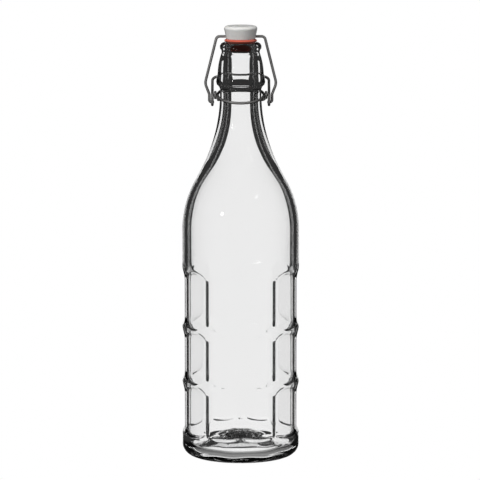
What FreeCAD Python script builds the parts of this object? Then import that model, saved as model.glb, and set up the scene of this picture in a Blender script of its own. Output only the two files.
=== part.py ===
import FreeCAD, Part
import math
import os
import re

import Sketcher

# A one-litre swing-top bottle. Millimetres, +Z up, the middle of the base at the origin. The front of
# the bottle is -Y, and the closing lever lies behind the neck, at +Y.

# Sizes that are set by themselves.
DIMENSIONS = {
    # glass: base and body
    "body_radius": 43.0,
    "wall": 4.0,
    "heel_radius": 8.0,
    "foot_width": 4.0,
    "push_up_height": 13.0,
    "base_thickness": 5.5,
    "floor_edge_height": 5.0,
    "inner_heel_radius": 7.5,
    # glass: three rows of flat panels, and the plain band above them
    "panel_count": 10,
    "panel_depth": 1.95,
    "panel_reach": 15.0,
    "panel_cutter_depth": 6.0,
    "arch_radius": 14.0,
    "bottom_arch_radius": 4.0,
    "row_gap": 1.6,
    "rows_bottom": 17.0,
    "lower_row": 38.4,
    "middle_row": 40.5,
    "upper_row": 43.7,
    "plain_band": 28.4,
    # glass: shoulder and neck, an S of two arcs with a straight slope between them
    "shoulder_radius": 74.0,
    "shoulder_slope": 10.0,
    "shoulder_rise": 100.0,
    "neck_radius": 15.2,
    "neck_wall": 5.4,
    "inner_flare_drop": 6.0,
    "neck_straight": 4.3,
    # glass: collar and lip
    "collar_overhang": 2.8,
    "collar_rise": 3.1,
    "collar_taper": 0.8,
    "collar_thickness": 8.2,
    "finish_radius": 50.0,
    "finish_height": 25.15,
    "waist_swell": 1.45,
    "lip_width": 3.05,
    "lip_roundness": 3.3,
    "mouth_step": 0.8,
    "mouth_depth": 8.0,
    # stopper and gasket
    "mouth_clearance": 1.1,
    "gasket_throat_drop": 2.05,
    "gasket_stand": 2.45,
    "gasket_reach": 2.8,
    "gasket_taper": 0.7,
    "gasket_brim": 0.05,
    "gasket_bevel": 1.5,
    "gasket_edge_drop": 1.2,
    "nose_inset": 1.0,
    "nose_overhang": 1.2,
    "nose_height": 2.0,
    "stem_clearance": 0.1,
    "stopper_foot_brim": 0.1,
    "stopper_flare": 1.5,
    "stopper_rim_radius": 1.5,
    "head_height": 9.4,
    "bar_rise": 1.8,
    # wire and its fits
    "wire_radius": 1.0,
    "pin_clearance": 0.08,
    "weld_thinning": 0.15,
    "side_gap": 0.147,
    # neck wire: a ring that leans, its front lower
    "ring_clearance": 0.16,
    "ring_gap": 0.35,
    "ring_lean": 13.9,
    "ear_length": 1.7,
    # lever
    "lever_clearance": 0.28,
    "lever_rise": 30.6,
    "lever_corner": 5.0,
    "bend_allowance": 0.6,
    "crank": 5.2,
    "crank_lean": 2.0,
    # bail
    "shoulder_of_bail": 5.2,
    "bar_corner": 2.8,
    "knee_clearance": 8.0,
    "knee_rise": 8.6,
    "knee_radius": 8.0,
    "ankle_rise": 0.6,
    "ankle_radius": 3.0,
    "hook_gap": 0.2,
    "hook_overlap": 0.3,
}

# Formulas of the sizes that follow from others, so that what fits keeps fitting.
FOLLOWING = {
    "body_inner_radius": "dims.body_radius - dims.wall",
    "foot_radius": "dims.body_radius - dims.heel_radius",
    "push_up_radius": "fits.foot_radius - dims.foot_width",
    "floor_top": "dims.push_up_height + dims.base_thickness",
    "lower_joint": "dims.rows_bottom + dims.lower_row",
    "upper_joint": "fits.lower_joint + dims.middle_row",
    "rows_top": "fits.upper_joint + dims.upper_row",
    "shoulder_height": "fits.rows_top + dims.plain_band",
    "flare_height": "fits.shoulder_height + dims.shoulder_rise",
    "neck_inner_radius": "dims.neck_radius - dims.neck_wall",
    "inner_flare_height": "fits.flare_height - dims.inner_flare_drop",
    "collar_base": "fits.flare_height + dims.neck_straight",
    "collar_radius": "dims.neck_radius + dims.collar_overhang",
    "collar_top_radius": "fits.collar_radius - dims.collar_taper",
    "collar_top": "fits.collar_base + dims.collar_thickness",
    "lip_height": "fits.collar_top + dims.finish_height",
    "mouth_radius": "fits.neck_inner_radius - dims.mouth_step",
    "lip_crown_radius": "fits.mouth_radius + dims.lip_width",
    "waist_radius": "fits.lip_crown_radius + dims.waist_swell",
    "gasket_throat": "fits.lip_height - dims.gasket_throat_drop",
    "gasket_top": "fits.lip_height + dims.gasket_stand",
    "gasket_bottom": "fits.gasket_throat - dims.gasket_reach",
    "gasket_throat_radius": "fits.mouth_radius - dims.mouth_clearance",
    "gasket_tip_radius": "fits.gasket_throat_radius - dims.gasket_taper",
    "gasket_radius": "fits.lip_crown_radius + dims.gasket_brim",
    "gasket_top_radius": "fits.gasket_radius - dims.gasket_bevel",
    "nose_radius": "fits.gasket_tip_radius - dims.nose_inset",
    "stem_radius": "fits.nose_radius - dims.nose_overhang",
    "stopper_base_radius": "fits.gasket_top_radius + dims.stopper_foot_brim",
    "stopper_top_radius": "fits.stopper_base_radius + dims.stopper_flare",
    "stopper_height": "fits.gasket_top + dims.head_height",
    "bar_height": "fits.gasket_top + dims.bar_rise",
    "eye_radius": "2 * dims.wire_radius + dims.pin_clearance",
    "strand_radius": "dims.wire_radius - dims.weld_thinning",
    "ring_fit": "dims.neck_radius + dims.wire_radius + dims.ring_clearance",
    "ring_radius": "fits.ring_fit / cos(dims.ring_lean * 1 deg)",
    "ring_lift": "fits.ring_radius * sin(dims.ring_lean * 1 deg)",
    "ring_height": "fits.collar_base - fits.ring_lift - dims.wire_radius - dims.ring_gap",
    "pin_end": "fits.ring_radius + dims.wire_radius + dims.side_gap",
    "ear_eye_reach": "fits.ring_radius + dims.ear_length * dims.wire_radius",
    "lever_reach": "fits.ear_eye_reach + 2 * dims.wire_radius + dims.side_gap",
    "lever_back": "fits.collar_radius + dims.wire_radius + dims.lever_clearance",
    "lever_length": "fits.lever_back / cos(dims.lever_rise * 1 deg)",
    "small_bend": "dims.wire_radius + dims.bend_allowance",
    "bar_half_width": "fits.stopper_top_radius + dims.shoulder_of_bail",
    "knee_reach": "fits.collar_radius + dims.knee_clearance",
    "knee_height": "fits.ring_height + dims.knee_rise",
    "ankle_height": "fits.ring_height + dims.ankle_rise",
    "hook_reach": "fits.lever_reach + 2 * dims.wire_radius + dims.hook_gap",
    "hook_end": "fits.lever_reach - dims.wire_radius - dims.hook_overlap",
}

doc = FreeCAD.newDocument("swing_top_bottle")


sheet = doc.addObject("Spreadsheet::Sheet", "dims")
for row, (alias, number) in enumerate(DIMENSIONS.items(), start=1):
    sheet.set(f"A{row}", alias)
    sheet.set(f"B{row}", str(number))
    sheet.setAlias(f"B{row}", alias)
doc.recompute()


def written_out(formula):
    """A formula with each following size replaced by its own formula, down to the sheet's cells."""
    return re.sub(r"fits\.(\w+)", lambda m: f"({written_out(FOLLOWING[m[1]])})", formula)


def worked_out(formula):
    """The value of a formula on the sheet's dimensions."""
    value = sheet.evalExpression(written_out(formula))
    return float(getattr(value, "Value", value))


def follow(thing, key, formula):
    """Binds one of an object's sizes to a formula."""
    thing.setExpression(key, written_out(formula))


def size(alias):
    """A size by its name, whether it is set by itself or follows from others."""
    return worked_out(("fits." if alias in FOLLOWING else "dims.") + alias)


# --- Sketches whose corners follow formulas on the sheet ---


def origin_plane(body, role):
    return next(f for f in body.Origin.OriginFeatures if f.Role == role)


def sketch_on(body, role, name):
    """A sketch on one of the body's own origin planes."""
    sketch = body.newObject("Sketcher::SketchObject", name)
    sketch.AttachmentSupport = (origin_plane(body, role), "")
    sketch.MapMode = "FlatFace"
    return sketch


def arc_between(start, end, radius, turn):
    """The shorter arc from start to end. turn is 1 if it runs anticlockwise, -1 if clockwise."""
    chord = end - start
    half = chord.Length / 2
    across = FreeCAD.Vector(-chord.y, chord.x, 0).normalize()
    centre = (start + end) / 2 + across * (turn * math.sqrt(max(radius**2 - half**2, 0)))
    first, last = (start, end) if turn > 0 else (end, start)
    angles = [math.atan2(p.y - centre.y, p.x - centre.x) for p in (first, last)]
    return Part.ArcOfCircle(Part.Circle(centre, FreeCAD.Vector(0, 0, 1), radius), *angles)


def bind_point(sketch, edge, end, formulas):
    """Ties one end of an edge to its two formulas. None keeps it on the sketch's vertical axis."""
    across, up = formulas
    if across is None:
        sketch.addConstraint(Sketcher.Constraint("PointOnObject", edge, end, -2))
    else:
        bind(sketch, Sketcher.Constraint("DistanceX", -1, 1, edge, end, worked_out(across)), across)
    bind(sketch, Sketcher.Constraint("DistanceY", -1, 1, edge, end, worked_out(up)), up)


def bind(sketch, constraint, formula):
    index = sketch.addConstraint(constraint)
    follow(sketch, f"Constraints[{index}]", formula)


def draw(sketch, corners, closed=True):
    """Draws an outline. Each corner is (across, up) for a straight edge that arrives there, or
    (across, up, radius, turn) for an arc."""
    places = [
        FreeCAD.Vector(worked_out(c[0]) if c[0] else 0, worked_out(c[1]), 0) for c in corners
    ]
    first_edge = 0 if closed else 1
    starts, ends, edges = [], [], []
    for i in range(first_edge, len(corners)):
        a, b = places[i - 1], places[i]
        if len(corners[i]) == 2:
            edges.append(sketch.addGeometry(Part.LineSegment(a, b), False))
            starts.append(1)
            ends.append(2)
        else:
            radius, turn = corners[i][2:]
            arc = arc_between(a, b, worked_out(radius), turn)
            edges.append(sketch.addGeometry(arc, False))
            starts.append(1 if turn > 0 else 2)
            ends.append(2 if turn > 0 else 1)
            bind(sketch, Sketcher.Constraint("Radius", edges[-1], worked_out(radius)), radius)
    for k in range(len(edges) if closed else len(edges) - 1):
        after = (k + 1) % len(edges)
        joint = Sketcher.Constraint("Coincident", edges[k], ends[k], edges[after], starts[after])
        sketch.addConstraint(joint)
    for k, edge in enumerate(edges):
        bind_point(sketch, edge, ends[k], corners[first_edge + k][:2])
    if not closed:
        bind_point(sketch, edges[0], starts[0], corners[0][:2])
    return sketch


def turned(body, sketch):
    """Revolves a sketch a full turn about the body's vertical axis."""
    feature = body.newObject("PartDesign::Revolution", sketch.Name + "_turned")
    feature.Profile = sketch
    feature.ReferenceAxis = (sketch, ["V_Axis"])
    feature.Angle = 360
    body.Tip = feature
    return feature


def new_body(name):
    body = doc.addObject("PartDesign::Body", name)
    body.Label = name
    return body


# --- The bottle ---


def s_curve(low_radius, low_height, high_radius, high_height, low_bend, slope):
    """The S between two upright walls: the lower arc turns in, a straight slope follows, and the
    upper arc turns up again. Gives the formulas of both ends of the slope and the upper radius."""
    width = f"(({low_radius}) - ({high_radius}))"
    rise = f"(({high_height}) - ({low_height}))"
    reach = f"(({width}^2 + {rise}^2 - ({slope})^2) / (2 * {width}))"
    upper_bend = f"({reach} - ({low_bend}))"
    squared = f"({reach}^2 + ({slope})^2)"
    cosine = f"(({reach} * ({reach} - {width}) + ({slope}) * {rise}) / {squared})"
    sine = f"(({reach} * {rise} - ({slope}) * ({reach} - {width})) / {squared})"
    foot = (
        f"({low_radius}) - ({low_bend}) * (1 - {cosine})",
        f"({low_height}) + ({low_bend}) * {sine}",
    )
    head = (
        f"({high_radius}) + {upper_bend} * (1 - {cosine})",
        f"({high_height}) - {upper_bend} * {sine}",
    )
    return foot, head, upper_bend


def glass_outline():
    """The half section of the glass: up the outside, over the lip and down the inside."""
    foot, head, flare = s_curve(
        "dims.body_radius",
        "fits.shoulder_height",
        "dims.neck_radius",
        "fits.flare_height",
        "dims.shoulder_radius",
        "dims.shoulder_slope",
    )
    inner_foot, inner_head, inner_flare = s_curve(
        "fits.body_inner_radius",
        "fits.shoulder_height",
        "fits.neck_inner_radius",
        "fits.inner_flare_height",
        "dims.shoulder_radius - dims.wall",
        "dims.shoulder_slope",
    )
    lip_middle = "(fits.lip_height - dims.lip_roundness)"
    waist = f"{lip_middle} - sqrt(dims.lip_roundness^2 - (fits.waist_radius - fits.lip_crown_radius)^2)"
    inner_lip = (
        f"{lip_middle} - sqrt(dims.lip_roundness^2 - (fits.lip_crown_radius - fits.mouth_radius)^2)"
    )
    dome = "(fits.push_up_radius^2 + dims.push_up_height^2) / (2 * dims.push_up_height)"
    floor_edge = "(fits.body_inner_radius - dims.inner_heel_radius)"
    floor_rise = "(fits.floor_top - dims.floor_edge_height)"
    floor_dome = f"({floor_edge}^2 + {floor_rise}^2) / (2 * {floor_rise})"
    return [
        (None, "dims.push_up_height"),
        ("fits.push_up_radius", "0", dome, -1),
        ("fits.foot_radius", "0"),
        ("fits.foot_radius + dims.heel_radius", "dims.heel_radius", "dims.heel_radius", 1),
        ("dims.body_radius", "fits.shoulder_height"),
        (*foot, "dims.shoulder_radius", 1),
        head,
        ("dims.neck_radius", "fits.flare_height", flare, -1),
        ("dims.neck_radius", "fits.collar_base"),
        ("fits.collar_radius", "fits.collar_base + dims.collar_rise"),
        ("fits.collar_top_radius", "fits.collar_top"),
        ("fits.waist_radius", waist, "dims.finish_radius", 1),
        ("fits.lip_crown_radius", "fits.lip_height", "dims.lip_roundness", 1),
        ("fits.mouth_radius", inner_lip, "dims.lip_roundness", 1),
        ("fits.mouth_radius", "fits.lip_height - dims.mouth_depth"),
        ("fits.neck_inner_radius", "fits.lip_height - dims.mouth_depth - dims.mouth_step"),
        ("fits.neck_inner_radius", "fits.inner_flare_height"),
        (*inner_head, inner_flare, 1),
        inner_foot,
        (
            "fits.body_inner_radius",
            "fits.shoulder_height",
            "dims.shoulder_radius - dims.wall",
            -1,
        ),
        ("fits.body_inner_radius", "dims.floor_edge_height + dims.inner_heel_radius"),
        (floor_edge, "dims.floor_edge_height", "dims.inner_heel_radius", -1),
        (None, "fits.floor_top", floor_dome, 1),
    ]


def panel_outline(low, high, low_arch, high_arch):
    """One panel seen from the side: a flat that curves out of the glass at both ends."""
    flat = "dims.body_radius - dims.panel_depth"
    rim = "dims.body_radius"
    outside = "dims.body_radius + dims.panel_cutter_depth"

    def run(arch):
        return f"sqrt(2 * {arch} * dims.panel_depth - dims.panel_depth^2)"

    return [
        (outside, high),
        (rim, high),
        (flat, f"{high} - {run(high_arch)}", high_arch, 1),
        (flat, f"{low} + {run(low_arch)}"),
        (rim, low, low_arch, 1),
        (outside, low),
    ]


def cut_panels(body):
    """Three rows of flat panels, cut as one pocket and repeated round the bottle."""
    blank = body.Tip.Shape.Volume
    half_gap = "dims.row_gap / 2"
    rows = [
        ("dims.rows_bottom", f"fits.lower_joint - {half_gap}", "dims.bottom_arch_radius"),
        (f"fits.lower_joint + {half_gap}", f"fits.upper_joint - {half_gap}", "dims.arch_radius"),
        (f"fits.upper_joint + {half_gap}", "fits.rows_top", "dims.arch_radius"),
    ]
    sketch = sketch_on(body, "XZ_Plane", "panels")
    for low, high, low_arch in rows:
        draw(sketch, panel_outline(low, high, low_arch, "dims.arch_radius"))
    pocket = body.newObject("PartDesign::Pocket", "panel_pocket")
    pocket.Profile = sketch
    pocket.Midplane = True
    follow(pocket, "Length", "2 * dims.panel_reach")
    body.Tip = pocket
    doc.recompute()
    pattern = body.newObject("PartDesign::PolarPattern", "panels_round")
    pattern.Originals = [pocket]
    pattern.Axis = (sketch, ["V_Axis"])
    pattern.Angle = 360
    follow(pattern, "Occurrences", "dims.panel_count")
    body.Tip = pattern
    doc.recompute()
    print("panels take away", round((blank - body.Tip.Shape.Volume) / 1000, 2), "ml of glass")


def make_bottle():
    body = new_body("bottle")
    turned(body, draw(sketch_on(body, "XZ_Plane", "glass"), glass_outline()))
    doc.recompute()
    cut_panels(body)
    return body


# --- The stopper and its gasket ---


def make_stopper():
    """A tapered head with a rounded rim, a stem through the gasket and a nose that keeps it on."""
    body = new_body("stopper")
    gasket_under = "fits.gasket_bottom"
    rim = "dims.stopper_rim_radius"
    outline = [
        (None, f"{gasket_under} - dims.nose_height"),
        ("fits.nose_radius", f"{gasket_under} - dims.nose_height"),
        ("fits.nose_radius", gasket_under),
        ("fits.stem_radius", gasket_under),
        ("fits.stem_radius", "fits.gasket_top"),
        ("fits.stopper_base_radius", "fits.gasket_top"),
        ("fits.stopper_top_radius", f"fits.stopper_height - {rim}"),
        (f"fits.stopper_top_radius - {rim}", "fits.stopper_height", rim, 1),
        (None, "fits.stopper_height"),
    ]
    turned(body, draw(sketch_on(body, "XZ_Plane", "stopper_section"), outline))
    doc.recompute()
    solid = body.Tip.Shape.Volume
    hole = sketch_on(body, "YZ_Plane", "bar_hole")
    circle = Part.Circle(FreeCAD.Vector(0, size("bar_height"), 0), FreeCAD.Vector(0, 0, 1), 1)
    hole.addGeometry(circle, False)
    hole.addConstraint(Sketcher.Constraint("PointOnObject", 0, 3, -2))
    bind(
        hole,
        Sketcher.Constraint("DistanceY", -1, 1, 0, 3, size("bar_height")),
        "fits.bar_height",
    )
    radius = "dims.wire_radius + dims.pin_clearance"
    bind(hole, Sketcher.Constraint("Radius", 0, worked_out(radius)), radius)
    pocket = body.newObject("PartDesign::Pocket", "bar_bore")
    pocket.Profile = hole
    pocket.Midplane = True
    follow(pocket, "Length", "4 * fits.stopper_top_radius")
    body.Tip = pocket
    doc.recompute()
    print("bar bore takes away", round(solid - body.Tip.Shape.Volume, 1), "cubic mm")
    return body


def make_gasket():
    """A rubber ring of two cones back to back, whose lower part reaches into the mouth."""
    body = new_body("gasket")
    hole = "fits.stem_radius + dims.stem_clearance"
    outline = [
        (hole, "fits.gasket_bottom"),
        ("fits.gasket_tip_radius", "fits.gasket_bottom"),
        ("fits.gasket_throat_radius", "fits.gasket_throat"),
        ("fits.gasket_radius", "fits.gasket_top - dims.gasket_edge_drop"),
        ("fits.gasket_top_radius", "fits.gasket_top"),
        (hole, "fits.gasket_top"),
    ]
    turned(body, draw(sketch_on(body, "XZ_Plane", "gasket_section"), outline))
    return body


# --- The three wires ---


def bent_path(corners):
    """Straight runs joined by tangent arcs. Each corner is (place, bend radius)."""
    edges = []
    here = corners[0][0]
    for (before, _), (corner, radius), (after, _) in zip(corners, corners[1:], corners[2:]):
        inward = (before - corner).normalize()
        onward = (after - corner).normalize()
        half = inward.getAngle(onward) / 2
        setback = radius / math.tan(half)
        start = corner + inward * setback
        end = corner + onward * setback
        middle = corner + (inward + onward).normalize() * (radius / math.sin(half) - radius)
        edges.append(Part.LineSegment(here, start).toShape())
        edges.append(Part.Arc(start, middle, end).toShape())
        here = end
    edges.append(Part.LineSegment(here, corners[-1][0]).toShape())
    return Part.Wire(edges)


def round_wire(path):
    """Sweeps the wire's round section along a path, with both ends cut square."""
    first = path.Edges[0]
    start = first.valueAt(first.FirstParameter)
    along = first.tangentAt(first.FirstParameter)
    section = Part.Wire(Part.makeCircle(size("wire_radius"), start, along))
    swept = path.makePipeShell([section], True, False)
    expected = math.pi * size("wire_radius") ** 2 * path.Length
    print("wire of", round(path.Length, 1), "mm, volume ratio", round(swept.Volume / expected, 4))
    return swept


def both_sides(right):
    """A left-right path: the right side's corners, then the same ones mirrored back to the start."""
    left = [(FreeCAD.Vector(-p.x, p.y, p.z), radius) for p, radius in reversed(right)]
    return left + right


def feature(name, shape):
    made = doc.addObject("Part::Feature", name)
    made.Label = name
    made.Shape = shape
    return made


def crank_offset():
    """From the lever's pivot axis to the axis of its two eyes, just behind straight down."""
    lean = math.radians(size("crank_lean"))
    return FreeCAD.Vector(0, size("crank") * math.sin(lean), -size("crank") * math.cos(lean))


def pivot_at(reach):
    return FreeCAD.Vector(reach, 0, size("ring_height"))


def make_bail():
    """A flat stirrup of round wire: a bar through the stopper, two legs and two inward hooks."""
    hook = pivot_at(0) + crank_offset()
    # The stirrup hangs in a plane that holds the stopper's bar and the lever's eyes.
    bar = FreeCAD.Vector(0, 0, size("bar_height"))
    up = (bar - hook) * (1 / (bar.z - hook.z))
    right = [
        (size("bar_half_width"), size("bar_height"), size("bar_corner")),
        (size("knee_reach"), size("knee_height"), size("knee_radius")),
        (size("hook_reach"), size("ankle_height"), size("ankle_radius")),
        (size("hook_reach"), hook.z, size("small_bend")),
        (size("hook_end"), hook.z, 0),
    ]
    corners = [(hook + up * (z - hook.z) + FreeCAD.Vector(x, 0, 0), r) for x, z, r in right]
    return feature("bail", round_wire(bent_path(both_sides(corners))))


def make_lever():
    """A loop behind the collar. Each end turns in as a pivot pin, and has an eye for the bail."""
    rise = math.radians(size("lever_rise"))
    arm = FreeCAD.Vector(0, math.cos(rise), math.sin(rise)) * size("lever_length")
    right = [
        (pivot_at(size("lever_reach")) + arm, size("lever_corner")),
        (pivot_at(size("lever_reach")), size("small_bend")),
        (pivot_at(size("pin_end")), 0),
    ]
    shape = round_wire(bent_path(both_sides(right)))
    eye_radius = size("eye_radius")
    down = crank_offset()
    sideways = FreeCAD.Vector(1, 0, 0)
    for side in (-1, 1):
        pivot = pivot_at(side * size("lever_reach"))
        eye = Part.makeTorus(eye_radius, size("wire_radius"), pivot + down, sideways)
        neck_length = size("crank") - eye_radius
        neck = Part.makeCylinder(size("strand_radius"), neck_length, pivot, down)
        shape = shape.fuse([eye, neck])
    return feature("lever", shape)


def primitive(kind, name, sizes, base, turn_axis, turn):
    """A Part primitive whose sizes and place are formulas on the sheet."""
    made = doc.addObject(kind, name)
    made.Placement.Rotation = FreeCAD.Rotation(turn_axis, 1)
    for key, formula in sizes.items():
        follow(made, key, formula)
    for key, formula in zip("xyz", base):
        follow(made, f"Placement.Base.{key}", formula)
    follow(made, "Placement.Rotation.Angle", turn)
    return made


def make_neck_wire():
    """A ring under the collar that leans forward, with an ear each side that ends in an eye."""
    across = FreeCAD.Vector(1, 0, 0)
    upright = FreeCAD.Vector(0, 1, 0)
    height = "fits.ring_height"
    eye_radius = "fits.eye_radius"
    ring = primitive(
        "Part::Torus",
        "neck_ring",
        {"Radius1": "fits.ring_radius", "Radius2": "dims.wire_radius"},
        ("0", "0", height),
        across,
        "dims.ring_lean * 1 deg",
    )
    pieces = [ring]
    for side, word in ((-1, "left"), (1, "right")):
        pieces.append(
            primitive(
                "Part::Torus",
                f"{word}_ear_eye",
                {"Radius1": eye_radius, "Radius2": "dims.wire_radius"},
                (f"{side} * fits.ear_eye_reach", "0", height),
                upright,
                "90 deg",
            )
        )
        for fore, place in ((-1, "front"), (1, "rear")):
            start = "sqrt(fits.ring_radius^2 - (2 * dims.wire_radius)^2)"
            pieces.append(
                primitive(
                    "Part::Cylinder",
                    f"{word}_{place}_strand",
                    {"Radius": "fits.strand_radius", "Height": f"fits.ear_eye_reach - {start}"},
                    (
                        f"{side} * {start}",
                        f"{fore} * ({eye_radius}) * cos(dims.ring_lean * 1 deg)",
                        f"{height} + {fore} * ({eye_radius}) * sin(dims.ring_lean * 1 deg)",
                    ),
                    upright,
                    f"{side} * 90 deg",
                )
            )
    whole = doc.addObject("Part::MultiFuse", "neck_wire")
    whole.Label = "neck_wire"
    whole.Shapes = pieces
    return whole


# --- Build, check and write every piece ---


def faults(objects):
    return [o.Name for o in objects if "Invalid" in o.State or "Error" in o.State]


parts = [
    make_bottle(),
    make_stopper(),
    make_gasket(),
    make_bail(),
    make_lever(),
    make_neck_wire(),
]
doc.recompute()
if faults(doc.Objects):
    raise SystemExit(f"failed: {faults(doc.Objects)}")

os.makedirs("parts", exist_ok=True)
for part in parts:
    shape = part.Shape
    if shape.isNull() or not shape.isValid() or len(shape.Solids) != 1:
        raise SystemExit(f"{part.Label} is not one sound solid")
    shape.exportStep(f"parts/{part.Label}.step")
    box = shape.optimalBoundingBox(True, False)
    print(
        f"{part.Label}: {round(shape.Volume / 1000, 2)} ml,",
        f"{round(box.XLength, 1)} x {round(box.YLength, 1)} x {round(box.ZLength, 1)} mm",
    )
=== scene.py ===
# %% [markdown]
# A swing-top bottle
#
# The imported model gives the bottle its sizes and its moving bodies. This lesson puts the looks around
# it: clear glass with pressed panels, a white stopper, a red rubber ring and three bent steel wires.
# Every length is in metres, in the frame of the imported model, so each piece is made where it belongs.

# %% Load the frame
import math

import bpy
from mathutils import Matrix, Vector


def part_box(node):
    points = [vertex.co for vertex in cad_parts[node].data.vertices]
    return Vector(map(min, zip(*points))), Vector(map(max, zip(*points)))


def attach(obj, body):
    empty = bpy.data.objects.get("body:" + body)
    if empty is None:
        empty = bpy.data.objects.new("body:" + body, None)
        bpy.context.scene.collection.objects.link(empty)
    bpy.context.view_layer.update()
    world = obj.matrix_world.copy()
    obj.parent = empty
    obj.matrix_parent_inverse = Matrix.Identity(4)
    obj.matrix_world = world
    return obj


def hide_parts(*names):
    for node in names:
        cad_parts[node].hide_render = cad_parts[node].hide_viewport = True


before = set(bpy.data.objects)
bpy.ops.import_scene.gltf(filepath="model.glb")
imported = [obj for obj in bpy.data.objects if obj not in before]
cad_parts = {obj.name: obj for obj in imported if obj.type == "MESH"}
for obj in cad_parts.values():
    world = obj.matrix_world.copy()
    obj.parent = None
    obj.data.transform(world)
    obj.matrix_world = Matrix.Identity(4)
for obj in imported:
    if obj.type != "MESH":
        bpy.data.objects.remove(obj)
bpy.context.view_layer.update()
MM = 0.001
scene = bpy.context.scene

# %% [markdown]
# The camera
#
# A long lens far away keeps the bottle's sides almost parallel. The camera stands a little above the
# bottle's middle and looks nine degrees down, so the rims show as flat ellipses. It comes first,
# because the white card behind the glass hangs from it.

# %% Camera
LENS = 296.2
CAMERA_DISTANCE = 2.9
LOOKS_DOWN = math.radians(9)
AIM = Vector((-0.5 * MM, 0, 159.7 * MM))

camera = bpy.data.objects.new("camera", bpy.data.cameras.new("camera"))
scene.collection.objects.link(camera)
scene.camera = camera
camera.data.lens = LENS
camera.data.clip_end = 20
back = Vector((0, -math.cos(LOOKS_DOWN), math.sin(LOOKS_DOWN)))
camera.location = AIM + back * CAMERA_DISTANCE
camera.rotation_euler = (-back).to_track_quat("-Z", "Y").to_euler()
print("camera at", [round(v, 3) for v in camera.location])

# %% [markdown]
# Node helpers
#
# Every shape rule and every finish below is a node tree. Writing each node on one line keeps the
# trees short enough to read: add() makes a node and fills its sockets, and maths() returns the result
# of one sum, so that sums nest as they do on paper.


# %% Node helpers
def add(tree, kind, settings=None, **sockets):
    """A new node. Socket names use _ for a space; a number picks the socket by its place."""
    node = tree.nodes.new(kind)
    for key, value in (settings or {}).items():
        setattr(node, key, value)
    for key, value in sockets.items():
        name = key.replace("_", " ").strip()
        socket = node.inputs[int(name)] if name.isdigit() else node.inputs[name]
        feed(tree, socket, value)
    return node


def feed(tree, socket, value):
    if isinstance(value, bpy.types.NodeSocket):
        tree.links.new(value, socket)
    else:
        socket.default_value = value


def maths(tree, operation, *values):
    """One Math node, in a shader or a geometry tree. Returns its result."""
    node = tree.nodes.new("ShaderNodeMath")
    node.operation = operation
    for socket, value in zip(node.inputs, values):
        feed(tree, socket, value)
    return node.outputs[0]


def shape_tree(name, inputs):
    """An empty geometry tree with a geometry input, named inputs and a geometry output."""
    tree = bpy.data.node_groups.new(name, "GeometryNodeTree")
    tree.is_modifier = True
    tree.interface.new_socket("Geometry", in_out="INPUT", socket_type="NodeSocketGeometry")
    for label, kind in inputs.items():
        tree.interface.new_socket(label, in_out="INPUT", socket_type=kind)
    tree.interface.new_socket("Geometry", in_out="OUTPUT", socket_type="NodeSocketGeometry")
    start = tree.nodes.new("NodeGroupInput")
    end = tree.nodes.new("NodeGroupOutput")
    return tree, start.outputs, end.inputs[0]


def finish_shape(tree, geometry, material, result):
    """Every shape tree ends the same way: real meshes only, smooth, in one material."""
    real = add(tree, "GeometryNodeRealizeInstances", Geometry=geometry)
    smooth = add(tree, "GeometryNodeSetShadeSmooth", Geometry=real.outputs[0])
    painted = add(tree, "GeometryNodeSetMaterial", Geometry=smooth.outputs[0], Material=material)
    tree.links.new(painted.outputs[0], result)


def shaped(name, mesh, tree, values):
    """Runs a shape tree on a mesh and keeps the result as a plain mesh object at the origin."""
    holder = bpy.data.objects.new(name + "_holder", mesh)
    scene.collection.objects.link(holder)
    modifier = holder.modifiers.new(name, "NODES")
    modifier.node_group = tree
    for item in tree.interface.items_tree:
        if item.in_out == "INPUT" and item.name in values:
            modifier[item.identifier] = values[item.name]
    ready = holder.evaluated_get(bpy.context.evaluated_depsgraph_get())
    made = bpy.data.objects.new(name, bpy.data.meshes.new_from_object(ready))
    scene.collection.objects.link(made)
    bpy.data.objects.remove(holder)
    print(name, "has", len(made.data.polygons), "faces")
    return made


# %% [markdown]
# The stage
#
# Clear glass has no colour of its own: it shows what stands behind it and beside it. Bottles are lit
# with a bright card behind them and a dark room on every side. Where the wall is seen straight on, the
# card shines through; where the wall turns away, the glass bends the view past the card's edge into
# the dark, and draws the outline. The card hangs from the camera, so the light is the same from all
# sides. Two small lamps give the highlights, and the floor and the background are plain white.

# %% Stage
CARD_BEHIND = 8.0
CARD_WIDTH = 4.2
CARD_HEIGHT = 4.2
ROOM_LIGHT = 0.03
PAPER_RADIUS = 0.045


def glow(name, colour, strength):
    material = bpy.data.materials.new(name)
    material.use_nodes = True
    tree = material.node_tree
    tree.nodes.clear()
    light = add(tree, "ShaderNodeEmission", Color=(*colour, 1), Strength=strength)
    output = add(tree, "ShaderNodeOutputMaterial")
    tree.links.new(light.outputs[0], output.inputs["Surface"])
    return material


def flat_sheet(name, width, height, material):
    corners = [(-width / 2, -height / 2, 0), (width / 2, -height / 2, 0)]
    corners += [(width / 2, height / 2, 0), (-width / 2, height / 2, 0)]
    mesh = bpy.data.meshes.new(name)
    mesh.from_pydata(corners, [], [(0, 1, 2, 3)])
    mesh.materials.append(material)
    sheet = bpy.data.objects.new(name, mesh)
    scene.collection.objects.link(sheet)
    return sheet


def soft_box(name, azimuth, elevation, distance, width, height, power):
    """A rectangular light that looks at the middle of the bottle. Azimuth 0 is the front."""
    light = bpy.data.lights.new(name, "AREA")
    light.shape = "RECTANGLE"
    light.size = width
    light.size_y = height
    light.energy = power
    box = bpy.data.objects.new(name, light)
    scene.collection.objects.link(box)
    side, up = math.radians(azimuth), math.radians(elevation)
    away = Vector((math.sin(side) * math.cos(up), -math.cos(side) * math.cos(up), math.sin(up)))
    box.location = AIM + away * distance
    box.rotation_euler = away.to_track_quat("Z", "Y").to_euler()
    return box


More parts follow.
